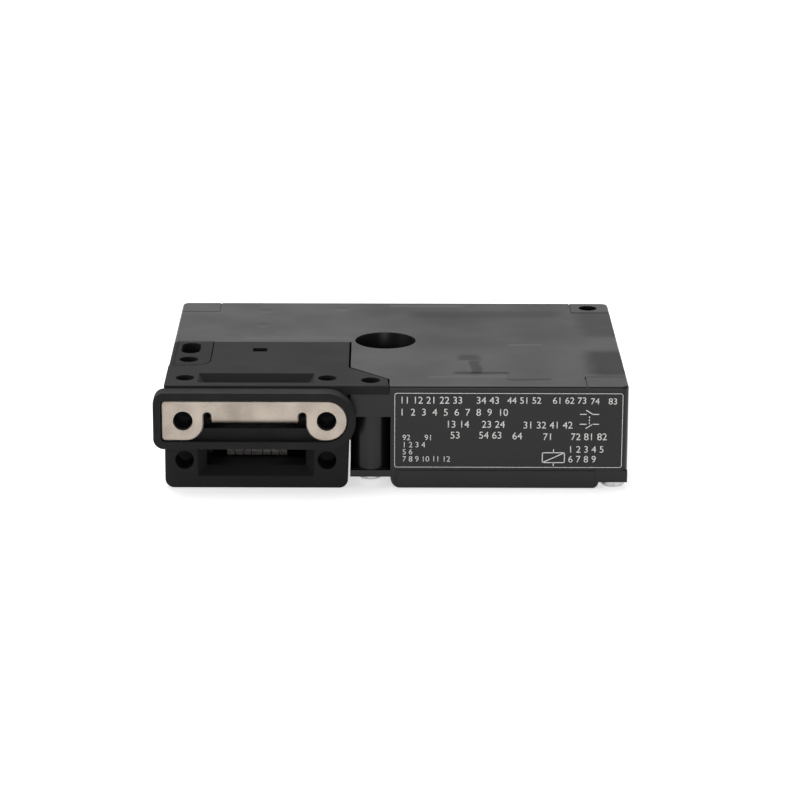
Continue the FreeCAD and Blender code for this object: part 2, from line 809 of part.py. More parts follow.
def makeActuatorFrame():
    body = newBody("actuator_frame")
    rim = actuatorFrameRim + plateClearance
    frameFront = front - actuatorGap - actuatorFrameDepth
    leftEnd = guideLeft - plateLeft - rim
    rightEnd = guideRight + plateRight + rim
    low = plateBottom - rim
    high = plateTop + rim
    prism(body, "XZ", frameFront, actuatorFrameDepth, rectangle((leftEnd, low), (rightEnd, high)))
    roundEdges(body, frameCornerRadius, anyOf(along(1, leftEnd, low), along(1, leftEnd, high)))
    roundEdges(body, plateHeight / 2 + rim - roundEndTrim,
               anyOf(along(1, rightEnd, low), along(1, rightEnd, high)))
    roundCentre = guideRight + plateRight - plateHeight / 2
    pocket(body, "XZ", frameFront, plateBack - frameFront,
           (roundCentre, upperSlotZ, plateHeight / 2 + plateClearance))
    pocket(body, "XZ", frameFront, plateBack - frameFront,
           rectangle((leftEnd + actuatorFrameRim, low + actuatorFrameRim),
                     (roundCentre, high - actuatorFrameRim)))
    roundEdges(body, plateCornerRadius, anyOf(
        along(1, leftEnd + actuatorFrameRim, low + actuatorFrameRim),
        along(1, leftEnd + actuatorFrameRim, high - actuatorFrameRim)))
    gap = plateClearance * 2
    pocket(body, "XZ", plateBack, actuatorFrameWeb,
           rectangle((middleX - tongueWidth / 2 - gap, tongueLow - webSlotBelow),
                     (middleX + tongueWidth / 2 + gap, tongueHigh + gap)),
           (guideLeft, upperSlotZ, fixingRadius), (guideRight, upperSlotZ, fixingRadius))


# ---- wheel: slotted steel discs on an axle, with the cam of the monitoring switch
def notched(body, start, thickness, directions):
    prism(body, "YZ", start, thickness, (wheelY, wheelZ, discRadius), (wheelY, wheelZ, axleRadius + seatFit))
    reach = discRadius + overrun
    half = notchWidth / 2
    notches = {
        "top": rectangle((wheelY - half, wheelZ + notchFloor), (wheelY + half, wheelZ + reach)),
        "bottom": rectangle((wheelY - half, wheelZ - reach), (wheelY + half, wheelZ - notchFloor)),
        "front": rectangle((wheelY - reach, wheelZ - half), (wheelY - notchFloor, wheelZ + half)),
        "back": rectangle((wheelY + notchFloor, wheelZ - half), (wheelY + reach, wheelZ + half))}
    for direction in directions:
        pocket(body, "YZ", start, thickness, notches[direction])


def makeWheel():
    number = 0
    for side in (-1, 1):
        for offset in discs:
            number += 1
            body = newBody(f"wheel_disc_{number}")
            centre = middleX + discGroupOffset * side + offset
            notched(body, centre - discThickness / 2, discThickness, ("top", "front", "bottom"))
    body = newBody("lock_disc")
    notched(body, middleX - lockDiscThickness / 2, lockDiscThickness, ("top", "front", "bottom", "back"))
    body = newBody("wheel_axle")
    prism(body, "YZ", left + axleStart, axleEnd - axleStart, (wheelY, wheelZ, axleRadius))
    roundEdges(body, axleChamfer, isRing, "Chamfer")
    body = newBody("monitor_cam")
    prism(body, "YZ", left + camAcross - camThickness / 2, camThickness,
          (wheelY - camThrow, wheelZ, camRadius), (wheelY, wheelZ, axleRadius + seatFit))


def makeCoilSpring(label, spot, direction, radius, pitch, height):
    """A wound wire along X or Y, from spot onwards."""
    helix = document.addObject("Part::Helix", label + "_path")
    helix.setExpression("Radius", asSize(radius).text)
    helix.setExpression("Height", asSize(height).text)
    helix.setExpression("Pitch", asSize(pitch).text)
    ring = document.addObject("Part::Circle", label + "_section")
    ring.setExpression("Radius", coilWire.text)
    ring.setExpression("Placement.Base.x", asSize(radius).text)
    ring.Placement.Rotation = FreeCAD.Rotation(Vector(1, 0, 0), 90)
    sweep = document.addObject("Part::Sweep", label)
    sweep.Label = label
    sweep.Sections = [ring]
    sweep.Spine = (helix, [])
    sweep.Solid = True
    sweep.Frenet = True
    turnAxis = Vector(0, 1, 0) if direction == "X" else Vector(-1, 0, 0)
    sweep.Placement = FreeCAD.Placement(Vector(0, 0, 0), FreeCAD.Rotation(turnAxis, 90))
    for axis, value in zip("xyz", spot):
        sweep.setExpression(f"Placement.Base.{axis}", asSize(value).text)
    document.recompute()
    return sweep


# ---- lock bolt, armature, link and solenoid
bladeTip = wheelY + discRadius + boltGap
rodStart = wheelY + discRadius + boltTravel + bladeShoulderGap
linkFront = front + linkBack
linkRear = linkFront + linkThickness
solenoidFront = front + solenoidBack
solenoidRear = solenoidFront + solenoidLength
armatureRear = solenoidRear - yokeThickness - armatureBackGap
armatureFront = armatureRear - armatureLength
crankPinThrow = boltTravel / 2
pinX = releaseX - crankPinThrow
pinY = releaseY + crankPinThrow


def makeLock():
    body = newBody("lock_bolt")
    prism(body, "XZ", rodStart, armatureFront - rodStart, (middleX, wheelZ, boltRadius))
    prism(body, "XZ", bladeTip, rodStart - bladeTip,
          rectangle((middleX - bladeThickness / 2, wheelZ - bladeHeight / 2),
                    (middleX + bladeThickness / 2, wheelZ + bladeHeight / 2)))
    roundEdges(body, bladeChamfer, anyOf(along(0, bladeTip, wheelZ - bladeHeight / 2),
                                         along(0, bladeTip, wheelZ + bladeHeight / 2)), "Chamfer")
    body = newBody("lock_armature")
    prism(body, "XZ", armatureFront, armatureLength, (middleX, wheelZ, armatureRadius))
    roundEdges(body, armatureChamfer, isRing, "Chamfer")
    body = newBody("release_link")
    eye = boltRadius + linkEyeWall
    low = asSize(linkUp)
    high = low + linkHeight
    armRight = left + lockPlungerAcross + plungerRadius + linkArmEnd
    outline = [(middleX - eye, low), (armRight, low), (armRight, high), (middleX + eye, high),
               (middleX + eye, wheelZ + eye), (middleX - eye, wheelZ + eye)]
    prism(body, "XZ", linkFront, linkThickness, outline)
    pocket(body, "XZ", linkFront, linkThickness, (middleX, wheelZ, boltRadius + seatFit))
    tabLow = low + linkTabRise
    slotHalfX = crankPinThrow * crankPinSwing + crankPinRadius + crankPinRoom
    slotHalfY = crankPinRadius + crankPinFit
    slotX = pinX - crankPinThrow * crankPinSwing
    prism(body, "XY", tabLow, linkThickness,
          rectangle((slotX - slotHalfX - linkTabSide, pinY - slotHalfY - linkTabFront),
                    (slotX + slotHalfX + linkTabSide, linkFront)))
    pocket(body, "XY", tabLow, linkThickness,
           rectangle((slotX - slotHalfX, pinY - slotHalfY), (slotX + slotHalfX, pinY + slotHalfY)))
    body = newBody("lock_plunger")
    prism(body, "XZ", linkRear, front + lockBlockBack + boltTravel + plungerDepth - linkRear,
          (left + lockPlungerAcross, lockPlungerUp, plungerRadius))
    springStart = linkRear + coilWire + coilSeat
    makeCoilSpring("lock_spring", (middleX, springStart, wheelZ), "Y", boltRadius + lockSpringRise,
                   lockSpringPitch, solenoidFront - linkRear - (coilWire + coilSeat) * 2)


def makeSolenoid():
    half = solenoidWidth / 2
    body = newBody("solenoid_yoke")
    low = wheelZ - coilRadius - coilFloorGap
    prism(body, "XZ", solenoidFront, solenoidLength,
          rectangle((middleX - half, low), (middleX + half, ceiling)))
    pocket(body, "XZ", solenoidFront + yokeThickness, solenoidLength - yokeThickness * 2,
           rectangle((middleX - half - overrun, low - overrun),
                     (middleX + half + overrun, ceiling - yokeThickness)))
    pocket(body, "XZ", solenoidFront, yokeThickness, (middleX, wheelZ, armatureRadius + armatureFit))
    body = newBody("solenoid_bobbin")
    start = solenoidFront + yokeThickness
    length = solenoidLength - yokeThickness * 2
    bore = (middleX, wheelZ, armatureRadius + armatureFit)
    prism(body, "XZ", start, length, (middleX, wheelZ, bobbinRadius), bore)
    prism(body, "XZ", start, bobbinFlange, (middleX, wheelZ, coilRadius), bore)
    prism(body, "XZ", start + length - bobbinFlange, bobbinFlange, (middleX, wheelZ, coilRadius), bore)
    body = newBody("solenoid_coil")
    prism(body, "XZ", start + bobbinFlange, length - bobbinFlange * 2,
          (middleX, wheelZ, coilRadius), (middleX, wheelZ, bobbinRadius))
    body = newBody("solenoid_core")
    coreFront = armatureRear + coreGap
    prism(body, "XZ", coreFront, solenoidRear - yokeThickness - coreFront, (middleX, wheelZ, armatureRadius))


# ---- manual release in its key well
def makeRelease():
    body = newBody("release_spindle")
    shaftLow = crankUp + crankThickness
    keyLow = wellFloor + spindleRise
    prism(body, "XY", shaftLow, keyLow - shaftLow, (releaseX, releaseY, spindleRadius))
    prism(body, "XY", crankUp, crankThickness, (releaseX, releaseY, crankRadius))
    inner = spindleKey / math.sqrt(3)
    triangle = [(releaseX - spindleKey, releaseY - inner), (releaseX + spindleKey, releaseY - inner),
                (releaseX, releaseY + inner * 2)]
    prism(body, "XY", keyLow, spindleKeyHeight, triangle)
    collarTop = wellFloor - wellFloorThickness - collarGap
    prism(body, "XY", collarTop - collarHeight, collarHeight, (releaseX, releaseY, crankRadius))
    body = newBody("release_crank_pin")
    pinLow = linkUp + crankPinRise
    prism(body, "XY", pinLow, crankUp - pinLow, (pinX, pinY, crankPinRadius))
    ring = document.addObject("Part::Torus", "release_seal")
    ring.Label = "release_seal"
    ring.setExpression("Radius1", (spindleRadius + sealSection + seatFit).text)
    ring.setExpression("Radius2", sealSection.text)
    ring.setExpression("Placement.Base.x", releaseX.text)
    ring.setExpression("Placement.Base.y", releaseY.text)
    ring.setExpression("Placement.Base.z", (wellFloor + sealSection).text)


# ---- switch blocks, terminals, screws and plugs
def makeSwitches():
    body = newBody("monitor_switch_block")
    across = left + camAcross - plungerRadius - blockSideWall
    start = front + monitorBlockBack
    prism(body, "XZ", start, blockLength, rectangle((across, blockUp), (across + monitorBlockWidth, ceiling)))
    pocket(body, "XZ", start, blockBoreDepth, (left + camAcross, wheelZ, plungerRadius + plungerFit))
    body = newBody("lock_switch_block")
    middle = left + lockPlungerAcross
    start = front + lockBlockBack
    low = lockPlungerUp - plungerRadius - blockFloorWall
    prism(body, "XZ", start, blockLength,
          rectangle((middle - lockBlockWidth / 2, low), (middle + lockBlockWidth / 2, ceiling)))
    pocket(body, "XZ", start, blockBoreDepth, (middle, lockPlungerUp, plungerRadius + plungerFit))
    body = newBody("monitor_plunger")
    tip = wheelY - camThrow + camRadius + boltGap
    prism(body, "XZ", tip, front + monitorBlockBack + monitorPlungerDepth - tip,
          (left + camAcross, wheelZ, plungerRadius))
    roundEdges(body, plungerChamfer, isRing, "Chamfer")


def makeTerminals():
    number = 0
    for strip in (0, 1):
        body = newBody(f"terminal_strip_{strip + 1}")
        across = left + stripAcross + stripPitch * strip
        start = front + stripBack
        prism(body, "XY", stripUp, ceiling - stripUp,
              rectangle((across, start), (across + stripWidth, start + stripLength)))
        middle = across + stripWidth / 2
        places = [start + stripLength / 2 + clampPitch * step for step in (-2, -1, 0, 1, 2)]
        pocket(body, "XY", stripUp, clampReach,
               *[(middle, place, screwRadius + seatFit) for place in places])
        for place in places:
            number += 1
            screw = newBody(f"terminal_screw_{number}")
            prism(screw, "XY", stripUp - clampHeadHeight, clampHeadHeight, (middle, place, clampRadius))
            prism(screw, "XY", stripUp, clampReach - clampEndRoom, (middle, place, screwRadius))
            pocket(screw, "XY", stripUp - clampHeadHeight, clampHeadHeight / 2,
                   rectangle((middle - clampSlotHalf, place - clampRadius - overrun),
                             (middle + clampSlotHalf, place + clampRadius + overrun)))


def makeScrews():
    for number, (across, up, seat) in enumerate(coverScrews):
        body = newBody(f"cover_screw_{number + 1}")
        low = seat - coverScrewHeadHeight
        prism(body, "XY", low, coverScrewHeadHeight, (across, up, coverScrewHead))
        prism(body, "XY", seat, coverScrewReach, (across, up, screwRadius))
        roundEdges(body, coverScrewHeadRound, lambda edge: abs(edge.BoundBox.ZMax - low.value) < 1e-3)
        for reach, half in ((crossArm, crossHalf), (crossHalf, crossArm)):
            pocket(body, "XY", low, crossDepth, rectangle((across - reach, up - half),
                                                          (across + reach, up + half)))
    for number, (across, up) in enumerate(headScrews):
        body = newBody(f"head_screw_{number + 1}")
        seat = headBack + wall
        prism(body, "XZ", seat, headScrewHeadHeight, (across, up, headScrewRadius))
        tip = headBack - headScrewReach + headScrewRoom
        prism(body, "XZ", tip, seat - tip, (across, up, screwRadius))


def makePlugs():
    for number, (across, up) in enumerate(entryCentresBack):
        body = newBody(f"entry_plug_{number + 1}")
        prism(body, "XZ", back - entryDepth + plugStop, entryDepth - plugStop,
              (across, up, entryRadius - seatFit))
        prism(body, "XZ", back, plugFlangeHeight, (across, up, plugFlange))
        faceLevel = back + plugFlangeHeight
        roundEdges(body, plugRound, lambda edge: edge.BoundBox.YMin > faceLevel.value - 1e-3)
        pocket(body, "XZ", faceLevel - plugSlotDepth, plugSlotDepth,
               rectangle((across - plugSlotReach, up - plugSlotHalf),
                         (across + plugSlotReach, up + plugSlotHalf)))


housing = makeHousing()
finishHousing(housing)
makeCover()
makeGasket()
makeHead()
makeGuideBlock()
makeActuatorPlate()
makeActuatorFrame()
makeWheel()
springAcross = middleX + discGroupOffset + discPitch * 2 - wheelSpringGap
makeCoilSpring("wheel_spring", (springAcross, wheelY, wheelZ), "X",
               axleRadius + wheelSpringRise, wheelSpringPitch, wheelSpringLength)
makeLock()
makeSolenoid()
makeRelease()
makeSwitches()
makeTerminals()
makeScrews()
makePlugs()
document.recompute()

# ---- check every object, then write each sub-part under its own name
for item in document.Objects:
    if "Invalid" in item.State or "Error" in item.State:
        raise RuntimeError(f"{item.Label} did not recompute")

subparts = [item for item in document.Objects
            if item.TypeId in ("PartDesign::Body", "Part::Sweep", "Part::Torus")]
for item in subparts:
    if item.Shape.isNull() or not item.Shape.isValid():
        raise RuntimeError(f"{item.Label} has no valid shape")

os.makedirs("parts", exist_ok=True)
for item in subparts:
    item.Shape.exportStep(f"parts/{item.Label}.step")
print(len(subparts), "sub-parts written")
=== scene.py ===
import json
import math

import bpy
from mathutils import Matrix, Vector


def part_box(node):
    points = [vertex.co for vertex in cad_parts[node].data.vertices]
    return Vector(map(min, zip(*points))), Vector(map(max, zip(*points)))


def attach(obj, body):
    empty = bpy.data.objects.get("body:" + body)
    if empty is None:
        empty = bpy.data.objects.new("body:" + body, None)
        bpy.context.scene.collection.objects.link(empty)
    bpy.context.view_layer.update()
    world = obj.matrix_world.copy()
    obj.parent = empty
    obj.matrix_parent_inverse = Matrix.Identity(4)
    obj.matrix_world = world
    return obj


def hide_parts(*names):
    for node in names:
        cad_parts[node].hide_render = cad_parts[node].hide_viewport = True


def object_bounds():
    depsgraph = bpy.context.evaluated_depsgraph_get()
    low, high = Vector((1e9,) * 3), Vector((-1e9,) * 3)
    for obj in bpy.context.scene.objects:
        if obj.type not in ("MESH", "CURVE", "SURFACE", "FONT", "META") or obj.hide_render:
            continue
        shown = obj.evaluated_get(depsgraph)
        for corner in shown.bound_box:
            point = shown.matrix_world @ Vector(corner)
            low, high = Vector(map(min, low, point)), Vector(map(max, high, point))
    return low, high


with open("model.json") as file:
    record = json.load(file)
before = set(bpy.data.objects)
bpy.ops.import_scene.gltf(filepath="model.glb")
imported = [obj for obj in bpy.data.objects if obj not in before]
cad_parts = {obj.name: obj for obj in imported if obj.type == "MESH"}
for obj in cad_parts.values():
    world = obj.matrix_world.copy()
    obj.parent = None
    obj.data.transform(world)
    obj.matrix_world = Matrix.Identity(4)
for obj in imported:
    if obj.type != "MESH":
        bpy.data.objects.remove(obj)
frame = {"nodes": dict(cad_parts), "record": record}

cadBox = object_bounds()
millimetre = 0.001
bpy.ops.object.select_all(action="DESELECT")

housingLow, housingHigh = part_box("main_housing")
headLow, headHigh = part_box("head_shell")
mounts = {mount["name"]: mount for mount in frame["record"]["mounts"]}
topFace = mounts["mounting_face"]["pos_m"][2]
cornerProud = 0.16 * millimetre  # the plan's corner arcs stand this much proud of the right side
rightFace = housingHigh.x - cornerProud
frontFace = headLow.y


def toLinear(code):
    # an sRGB hex value to the linear colour that the nodes take
    channels = [int(code[start:start + 2], 16) / 255 for start in (1, 3, 5)]
    linear = [
        channel / 12.92 if channel <= 0.04045 else ((channel + 0.055) / 1.055) ** 2.4
        for channel in channels
    ]
    return (*linear, 1)


def addNode(tree, kind, settings=None, links=None):
    # a lower-case key is a property of the node, any other key is one of its sockets
    node = tree.nodes.new(kind)
    for key, value in (settings or {}).items():
        if isinstance(key, str) and key[0].islower():
            setattr(node, key, value)
        else:
            node.inputs[key].default_value = value
    for key, source in (links or {}).items():
        tree.links.new(source, node.inputs[key])
    return node


def newMaterial(name):
    material = bpy.data.materials.new(name)
    material.use_nodes = True
    tree = material.node_tree
    tree.nodes.clear()
    return material, tree


def grainPerMetre(size):
    # a noise texture draws roughly one spot per unit, so this gives spots of the size in millimetres
    return 1 / (size * millimetre)


def addRamp(tree, factor, low, high, dark, light):
    ramp = addNode(tree, "ShaderNodeValToRGB", links={"Fac": factor})
    ramp.color_ramp.elements[0].position = low
    ramp.color_ramp.elements[1].position = high
    ramp.color_ramp.elements[0].color = dark
    ramp.color_ramp.elements[1].color = light
    return ramp


def addEdgeMask(tree, radius):
    # one where the rounded normal leaves the flat one, so that edges can be painted lighter: rubbing and a
    # painted highlight
    rounded = addNode(tree, "ShaderNodeBevel", {"samples": 4, "Radius": radius * millimetre})
    geometry = addNode(tree, "ShaderNodeNewGeometry")
    dot = addNode(tree, "ShaderNodeVectorMath", {"operation": "DOT_PRODUCT"},
                  {0: rounded.outputs["Normal"], 1: geometry.outputs["Normal"]})
    mask = addNode(tree, "ShaderNodeMapRange", {"From Min": 0.995, "From Max": 0.8},
                   {"Value": dot.outputs["Value"]})
    return rounded, mask


def mouldedPlastic(name, look):
    # moulded thermoplastic: an even, fine grain from the tool, cloudy gloss, edges a little lighter from
    # rubbing and a painted highlight
    material, tree = newMaterial(name)
    place = addNode(tree, "ShaderNodeTexCoord").outputs["Object"]
    cloud = addNode(tree, "ShaderNodeTexNoise", {"Scale": grainPerMetre(look["cloud"]), "Detail": 2},
                    {"Vector": place})
    grain = addNode(tree, "ShaderNodeTexNoise", {"Scale": grainPerMetre(look["grain"]), "Detail": 3},
                    {"Vector": place})
    base = addRamp(tree, cloud.outputs["Fac"], 0.3, 0.7, toLinear(look["dark"]), toLinear(look["light"]))
    rounded, edges = addEdgeMask(tree, look["edge"])
    # edges take the edge colour: rubbing and a painted highlight
    worn = addNode(tree, "ShaderNodeMath", {"operation": "MULTIPLY", 1: look["wear"]},
                   {0: edges.outputs["Result"]})
    colour = addNode(tree, "ShaderNodeMix", {"data_type": "RGBA"})
    tree.links.new(worn.outputs[0], colour.inputs[0])
    tree.links.new(base.outputs["Color"], colour.inputs[6])
    colour.inputs[7].default_value = toLinear(look["worn"])
    gloss = addNode(tree, "ShaderNodeMapRange",
                    {"From Min": 0.3, "From Max": 0.7, "To Min": look["gloss"][0],
                     "To Max": look["gloss"][1]}, {"Value": cloud.outputs["Fac"]})
    bump = addNode(tree, "ShaderNodeBump", {"Strength": look["relief"], "Distance": 0.02 * millimetre},
                   {"Height": grain.outputs["Fac"], "Normal": rounded.outputs["Normal"]})
    shader = addNode(tree, "ShaderNodeBsdfPrincipled", {"IOR": look["ior"]},
                     {"Base Color": colour.outputs[2], "Roughness": gloss.outputs["Result"],
                      "Normal": bump.outputs["Normal"]})
    addNode(tree, "ShaderNodeOutputMaterial", links={"Surface": shader.outputs["BSDF"]})
    return material


# cloud, grain and edge are in mm; gloss is the lowest and highest roughness
# the real grain is finer than these, and is drawn coarse enough to show
plasticLooks = {
    # glass-filled polyamide housing: black, polished tool, so the top mirrors the studio in slow clouds
    "housing_plastic": {"name": "moulded_glass_filled_polyamide", "dark": "#0e0e0e", "light": "#141413",
                        "worn": "#3c3b3a", "cloud": 22, "grain": 0.45, "relief": 0.18, "edge": 0.25,
                        "wear": 0.35, "gloss": (0.26, 0.4), "ior": 1.37},
    # the head is the same plastic from a spark-eroded tool, so it is matter; its black is painted lighter
    # than the housing's, as painted fill light on its shaded front faces
    "head_plastic": {"name": "spark_textured_polyamide", "dark": "#1b1a1a", "light": "#212020",
                     "worn": "#3a3938", "cloud": 14, "grain": 0.3, "relief": 0.5, "edge": 0.22,
                     "wear": 0.35, "gloss": (0.72, 0.84), "ior": 1.31},
    # shallower spark texture and a deeper black: dull, with a faint sheen along the frame's edges
    "actuator_plastic": {"name": "fine_textured_polyamide", "dark": "#0e0d0d", "light": "#131212",
                         "worn": "#333231", "cloud": 10, "grain": 0.3, "relief": 0.35, "edge": 0.22,
                         "wear": 0.35, "gloss": (0.7, 0.82), "ior": 1.37},
    # plugs from a plainer tool: soft gloss
    "plug_plastic": {"name": "moulded_black_plug", "dark": "#111111", "light": "#171717",
                     "worn": "#3a3a39", "cloud": 9, "grain": 0.35, "relief": 0.3, "edge": 0.25,
                     "wear": 0.4, "gloss": (0.35, 0.45), "ior": 1.42},
    # natural polyamide: milky and faintly yellow
    "pale_plastic": {"name": "natural_polyamide", "dark": "#cfc9ba", "light": "#d9d4c7", "worn": "#e6e2d8",
                     "cloud": 8, "grain": 0.4, "relief": 0.2, "edge": 0.2, "wear": 0.3,
                     "gloss": (0.35, 0.45), "ior": 1.5},
    # contact blocks: dark grey and smooth, a little duller than the housing
    "switch_plastic": {"name": "moulded_dark_grey_thermoplastic", "dark": "#2c2c2e", "light": "#343436",
                       "worn": "#4d4d4f", "cloud": 8, "grain": 0.4, "relief": 0.25, "edge": 0.2,
                       "wear": 0.3, "gloss": (0.38, 0.48), "ior": 1.5},
    # polyacetal: slippery, slightly waxy gloss
    "plunger_plastic": {"name": "moulded_red_polyacetal", "dark": "#8e1f17", "light": "#9c271d",
                        "worn": "#b5463b", "cloud": 6, "grain": 0.4, "relief": 0.12, "edge": 0.15,
                        "wear": 0.3, "gloss": (0.28, 0.34), "ior": 1.48},
    # nitrile rubber: dull, with a slight bloom
    "seal_rubber": {"name": "moulded_nitrile_rubber", "dark": "#0e0e0e", "light": "#1b1b1b",
                    "worn": "#2a2a2a", "cloud": 5, "grain": 0.25, "relief": 0.5, "edge": 0.12,
                    "wear": 0.2, "gloss": (0.65, 0.8), "ior": 1.52},
}


# clouds of tone 6 mm across under the mottling, and how far edges are painted lighter, for rubbing and a
# painted highlight
metalTone = {"cloud": 6, "mottleShare": 0.55, "wear": 0.7}


def workedMetal(name, look):
    # sheet, wire or turned metal: mottled tone, fine drawn or turned lines, edges brighter from rubbing and a
    # painted highlight
    material, tree = newMaterial(name)
    place = addNode(tree, "ShaderNodeTexCoord").outputs["Object"]
    mottle = addNode(tree, "ShaderNodeTexNoise",
                     {"Scale": grainPerMetre(look["mottle"]), "Detail": 6, "Roughness": 0.65},
                     {"Vector": place})
    stretch = addNode(tree, "ShaderNodeMapping", {"Scale": look["drawn"]}, {"Vector": place})
    lines = addNode(tree, "ShaderNodeTexNoise", {"Scale": grainPerMetre(look["line"]), "Detail": 4},
                    {"Vector": stretch.outputs["Vector"]})
    cloud = addNode(tree, "ShaderNodeTexNoise", {"Scale": grainPerMetre(metalTone["cloud"]), "Detail": 1},
                    {"Vector": place})
    clouded = addNode(tree, "ShaderNodeMath", {"operation": "MULTIPLY", 1: 1 - metalTone["mottleShare"]},
                      {0: cloud.outputs["Fac"]})
    blend = addNode(tree, "ShaderNodeMath", {"operation": "MULTIPLY_ADD", 1: metalTone["mottleShare"]},
                    {0: mottle.outputs["Fac"], 2: clouded.outputs[0]})
    base = addRamp(tree, blend.outputs[0], 0.38, 0.62, toLinear(look["dark"]), toLinear(look["light"]))
    rounded, edges = addEdgeMask(tree, look["edge"])
    # edges take the edge colour: rubbing and a painted highlight
    worn = addNode(tree, "ShaderNodeMath", {"operation": "MULTIPLY", 1: metalTone["wear"]},
                   {0: edges.outputs["Result"]})
    colour = addNode(tree, "ShaderNodeMix", {"data_type": "RGBA"})
    tree.links.new(worn.outputs[0], colour.inputs[0])
    tree.links.new(base.outputs["Color"], colour.inputs[6])
    colour.inputs[7].default_value = toLinear(look["worn"])
    gloss = addNode(tree, "ShaderNodeMapRange",
                    {"From Min": 0.35, "From Max": 0.65, "To Min": look["gloss"][0],
                     "To Max": look["gloss"][1]}, {"Value": mottle.outputs["Fac"]})
    bump = addNode(tree, "ShaderNodeBump", {"Strength": look["relief"], "Distance": 0.01 * millimetre},
                   {"Height": lines.outputs["Fac"], "Normal": rounded.outputs["Normal"]})
    shader = addNode(tree, "ShaderNodeBsdfPrincipled", {"Metallic": 1},
                     {"Base Color": colour.outputs[2], "Roughness": gloss.outputs["Result"],
                      "Normal": bump.outputs["Normal"]})
    addNode(tree, "ShaderNodeOutputMaterial", links={"Surface": shader.outputs["BSDF"]})
    return material


# mottle, line and edge are in mm; drawn squeezes the lines along an axis; gloss is as for the plastics
# the real lines are finer than these, and are drawn coarse enough to show
metalLooks = {
    # stamped and tumbled stainless steel: warm grey, matt, with a fine speckle; its near-white edges are a
    # painted highlight along the rims
    "actuator_steel": {"name": "tumbled_stainless_steel", "dark": "#93897f", "light": "#b1a69b",
                       "worn": "#f0ebe4", "mottle": 0.32, "line": 0.22, "drawn": (1, 1, 4), "edge": 0.36,
                       "relief": 0.5, "gloss": (0.42, 0.56)},
    # stamped discs: bright, with burnished rims
    "wheel_steel": {"name": "stamped_bright_steel", "dark": "#dcdad6", "light": "#f4f2ee",
                    "worn": "#f2f1ee", "mottle": 0.7, "line": 0.2, "drawn": (1, 6, 6), "edge": 0.15,
                    "relief": 0.4, "gloss": (0.45, 0.6)},
    # turned and ground: even grey with a soft streak
    "bolt_steel": {"name": "turned_steel", "dark": "#a3a3a3", "light": "#bdbdbc", "worn": "#dadada",
                   "mottle": 1.2, "line": 0.2, "drawn": (1, 8, 1), "edge": 0.15, "relief": 0.4,
                   "gloss": (0.28, 0.4)},
    # zinc plating: bluish white, softly clouded
    "zinc_plated_steel": {"name": "zinc_plated_sheet_steel", "dark": "#a8acae", "light": "#c6c9ca",
                          "worn": "#dfe1e1", "mottle": 2.5, "line": 0.3, "drawn": (1, 1, 1), "edge": 0.15,
                          "relief": 0.25, "gloss": (0.32, 0.48)},
    # the same plating on a cold-headed screw: brighter and a little smoother
    "screw_steel": {"name": "zinc_plated_screw_steel", "dark": "#b1b3b2", "light": "#d2d3d1",
                    "worn": "#ecece9", "mottle": 1.1, "line": 0.2, "drawn": (1, 1, 1), "edge": 0.15,
                    "relief": 0.3, "gloss": (0.24, 0.36)},
    # drawn wire: clean and shiny
    "spring_steel": {"name": "drawn_spring_wire", "dark": "#a2a19e", "light": "#c9c8c5", "worn": "#e3e2df",
                     "mottle": 0.8, "line": 0.15, "drawn": (4, 4, 4), "edge": 0.08, "relief": 0.3,
                     "gloss": (0.22, 0.32)},
    # turned brass: pale yellow, with fine turning lines round the spindle
    "release_brass": {"name": "turned_brass", "dark": "#b08d4c", "light": "#cfad69", "worn": "#e6cb91",
                      "mottle": 1.5, "line": 0.2, "drawn": (1, 1, 8), "edge": 0.15, "relief": 0.35,
                      "gloss": (0.24, 0.36)},
}


def woundCopper():
    # enamelled copper wire under clear tape: rings round the coil's axis. The wire is 0.2 mm thick, which
    # wouldn't show, so the wave texture, with 20 bands in 2 pi units, is scaled to a ring every 0.8 mm
    material, tree = newMaterial("enamelled_copper_winding")
    place = addNode(tree, "ShaderNodeTexCoord").outputs["Object"]
    turns = addNode(tree, "ShaderNodeTexWave",
                    {"wave_type": "BANDS", "bands_direction": "Y", "Scale": grainPerMetre(2.512),
                     "Distortion": 0.4}, {"Vector": place})
    # each turn darkens from its crown to its sides: painted shade in the grooves between turns
    colour = addRamp(tree, turns.outputs["Fac"], 0.2, 0.9, toLinear("#5e2c12"), toLinear("#b5652f"))
    bump = addNode(tree, "ShaderNodeBump", {"Strength": 0.6, "Distance": 0.08 * millimetre},
                   {"Height": turns.outputs["Fac"]})
    shader = addNode(tree, "ShaderNodeBsdfPrincipled", {"Roughness": 0.28, "Coat Weight": 0.5},
                     {"Base Color": colour.outputs["Color"], "Normal": bump.outputs["Normal"]})
    addNode(tree, "ShaderNodeOutputMaterial", links={"Surface": shader.outputs["BSDF"]})
    return material


def printedInk():
    # pad-printed white ink: matt, thin, a little uneven where the plastic shows through
    material, tree = newMaterial("pad_printed_white_ink")
    place = addNode(tree, "ShaderNodeTexCoord").outputs["Object"]
    uneven = addNode(tree, "ShaderNodeTexNoise", {"Scale": grainPerMetre(0.5), "Detail": 3},
                     {"Vector": place})
    colour = addRamp(tree, uneven.outputs["Fac"], 0.3, 0.7, toLinear("#e2e2e0"), toLinear("#fafaf8"))
    shader = addNode(tree, "ShaderNodeBsdfPrincipled", {"Roughness": 0.55, "IOR": 1.45},
                     {"Base Color": colour.outputs["Color"]})
    addNode(tree, "ShaderNodeOutputMaterial", links={"Surface": shader.outputs["BSDF"]})
    return material


def fromLeft(size):
    # from the housing's left end, in mm
    return housingLow.x + size * millimetre


def fromFront(size):
    # back from the label's face, in mm
    return frontFace + size * millimetre


